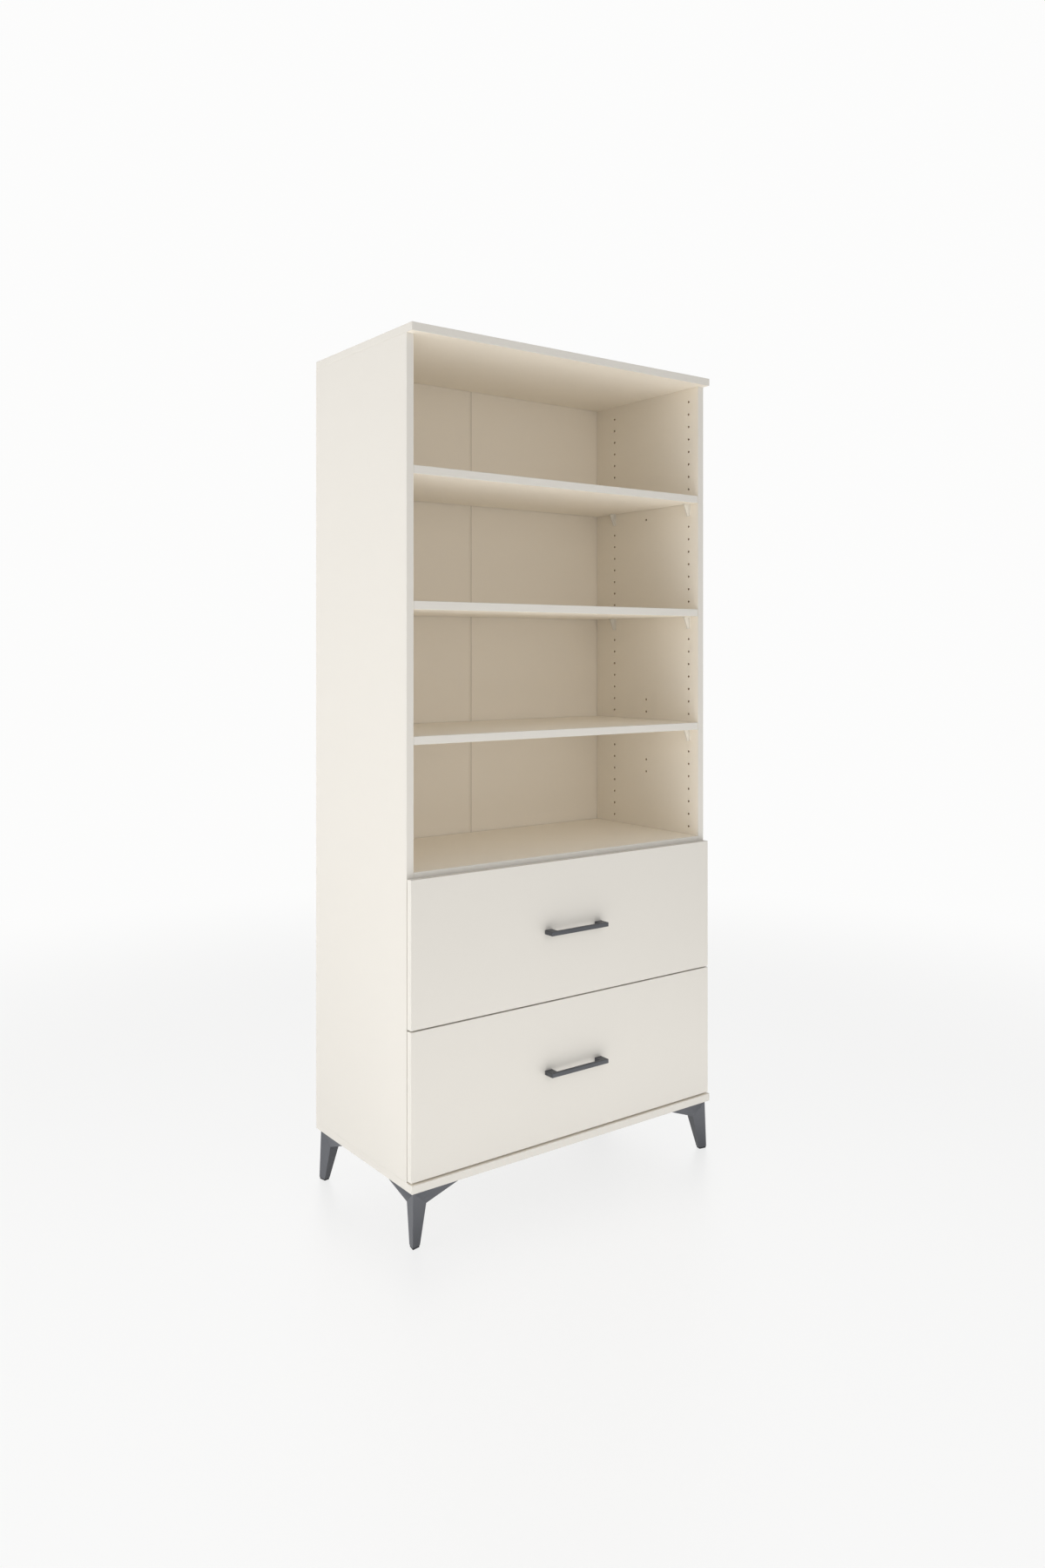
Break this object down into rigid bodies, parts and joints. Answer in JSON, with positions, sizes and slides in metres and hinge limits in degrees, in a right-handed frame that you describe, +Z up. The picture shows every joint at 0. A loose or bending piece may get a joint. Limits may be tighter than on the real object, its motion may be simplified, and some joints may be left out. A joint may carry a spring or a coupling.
{
  "type": "bookcase with bottom drawers",
  "caption": "Tall free-standing bookcase with open shelf compartments over full-width drawers on telescopic slides, standing on short splayed corner legs.",
  "frame": {"origin": "on the floor under the middle of the bookcase's outer box, handles included", "axes": "+Z up, +X to the right of someone facing the bookcase, drawers open along -Y"},
  "size_m": [0.88, 0.4606, 1.95],
  "materials": {
    "board": "matt cream melamine face on particle board",
    "back_board": "thin fibreboard with a matt cream face",
    "drawer_board": "matt cream melamine face on particle board",
    "drawer_bottom_board": "thin fibreboard with a matt cream face",
    "strip_plastic": "extruded plastic",
    "support_plastic": "moulded plastic",
    "cap_plastic": "moulded plastic",
    "leg_plastic": "anthracite moulded plastic with a fine texture",
    "glide_plastic": "dark pad",
    "handle_metal": "anthracite powder coat",
    "slide_steel": "zinc-plated sheet steel",
    "retainer_plastic": "moulded plastic",
    "fastener_steel": "zinc-plated",
    "cam_metal": "die-cast",
    "dowel_wood": "beech"
  },
  "bodies": {
    "cabinet": {"side_panel_left": "board", "side_panel_right": "board", "top_panel": "board", "bottom_panel": "board", "fixed_shelf": "board", "shelf_upper": "board", "shelf_middle": "board", "shelf_lower": "board", "back_panel_left": "back_board", "back_panel_right": "back_board", "back_joint_strip": "strip_plastic", "shelf_supports": "support_plastic", "carcass_screws": "fastener_steel", "screw_caps": "cap_plastic", "carcass_dowels": "dowel_wood", "fixed_shelf_bolts": "fastener_steel", "fixed_shelf_cams": "cam_metal", "leg_front_left": "leg_plastic", "leg_front_right": "leg_plastic", "leg_back_left": "leg_plastic", "leg_back_right": "leg_plastic", "leg_glides": "glide_plastic", "leg_screws": "fastener_steel", "upper_slide_outer_left": "slide_steel", "upper_slide_outer_right": "slide_steel", "lower_slide_outer_left": "slide_steel", "lower_slide_outer_right": "slide_steel"},
    "upper_drawer": {"upper_drawer_front": "board", "upper_drawer_side_left": "drawer_board", "upper_drawer_side_right": "drawer_board", "upper_drawer_back": "drawer_board", "upper_drawer_bottom": "drawer_bottom_board", "upper_handle": "handle_metal", "upper_handle_screws": "fastener_steel", "upper_drawer_bolts": "fastener_steel", "upper_drawer_cams": "cam_metal", "upper_drawer_dowels": "dowel_wood", "upper_drawer_screws": "fastener_steel", "upper_slide_inner_left": "slide_steel", "upper_slide_inner_right": "slide_steel"},
    "upper_slide_middle_members": {"upper_slide_middles": "slide_steel"},
    "upper_slide_outer_retainer_set": {"upper_slide_outer_retainers": "retainer_plastic"},
    "upper_slide_inner_retainer_set": {"upper_slide_inner_retainers": "retainer_plastic"},
    "lower_drawer": {"lower_drawer_front": "board", "lower_drawer_side_left": "drawer_board", "lower_drawer_side_right": "drawer_board", "lower_drawer_back": "drawer_board", "lower_drawer_bottom": "drawer_bottom_board", "lower_handle": "handle_metal", "lower_handle_screws": "fastener_steel", "lower_drawer_bolts": "fastener_steel", "lower_drawer_cams": "cam_metal", "lower_drawer_dowels": "dowel_wood", "lower_drawer_screws": "fastener_steel", "lower_slide_inner_left": "slide_steel", "lower_slide_inner_right": "slide_steel"},
    "lower_slide_middle_members": {"lower_slide_middles": "slide_steel"},
    "lower_slide_outer_retainer_set": {"lower_slide_outer_retainers": "retainer_plastic"},
    "lower_slide_inner_retainer_set": {"lower_slide_inner_retainers": "retainer_plastic"}
  },
  "joints": [
    {"name": "upper_drawer_slide", "type": "slide", "parent": "cabinet", "child": "upper_drawer", "axis": [0, -1, 0], "range_m": [0, 0.35]},
    {"name": "upper_middle_slide", "type": "slide", "parent": "cabinet", "child": "upper_slide_middle_members", "axis": [0, -1, 0], "range_m": [0, 0.175]},
    {"name": "upper_outer_retainer_slide", "type": "slide", "parent": "cabinet", "child": "upper_slide_outer_retainer_set", "axis": [0, -1, 0], "range_m": [0, 0.0875]},
    {"name": "upper_inner_retainer_slide", "type": "slide", "parent": "cabinet", "child": "upper_slide_inner_retainer_set", "axis": [0, -1, 0], "range_m": [0, 0.2625]},
    {"name": "lower_drawer_slide", "type": "slide", "parent": "cabinet", "child": "lower_drawer", "axis": [0, -1, 0], "range_m": [0, 0.35]},
    {"name": "lower_middle_slide", "type": "slide", "parent": "cabinet", "child": "lower_slide_middle_members", "axis": [0, -1, 0], "range_m": [0, 0.175]},
    {"name": "lower_outer_retainer_slide", "type": "slide", "parent": "cabinet", "child": "lower_slide_outer_retainer_set", "axis": [0, -1, 0], "range_m": [0, 0.0875]},
    {"name": "lower_inner_retainer_slide", "type": "slide", "parent": "cabinet", "child": "lower_slide_inner_retainer_set", "axis": [0, -1, 0], "range_m": [0, 0.2625]}
  ],
  "couplings": [
    {"joint": "upper_middle_slide", "follows": "upper_drawer_slide", "ratio": 0.5},
    {"joint": "upper_outer_retainer_slide", "follows": "upper_drawer_slide", "ratio": 0.25},
    {"joint": "upper_inner_retainer_slide", "follows": "upper_drawer_slide", "ratio": 0.75},
    {"joint": "lower_middle_slide", "follows": "lower_drawer_slide", "ratio": 0.5},
    {"joint": "lower_outer_retainer_slide", "follows": "lower_drawer_slide", "ratio": 0.25},
    {"joint": "lower_inner_retainer_slide", "follows": "lower_drawer_slide", "ratio": 0.75}
  ]
}
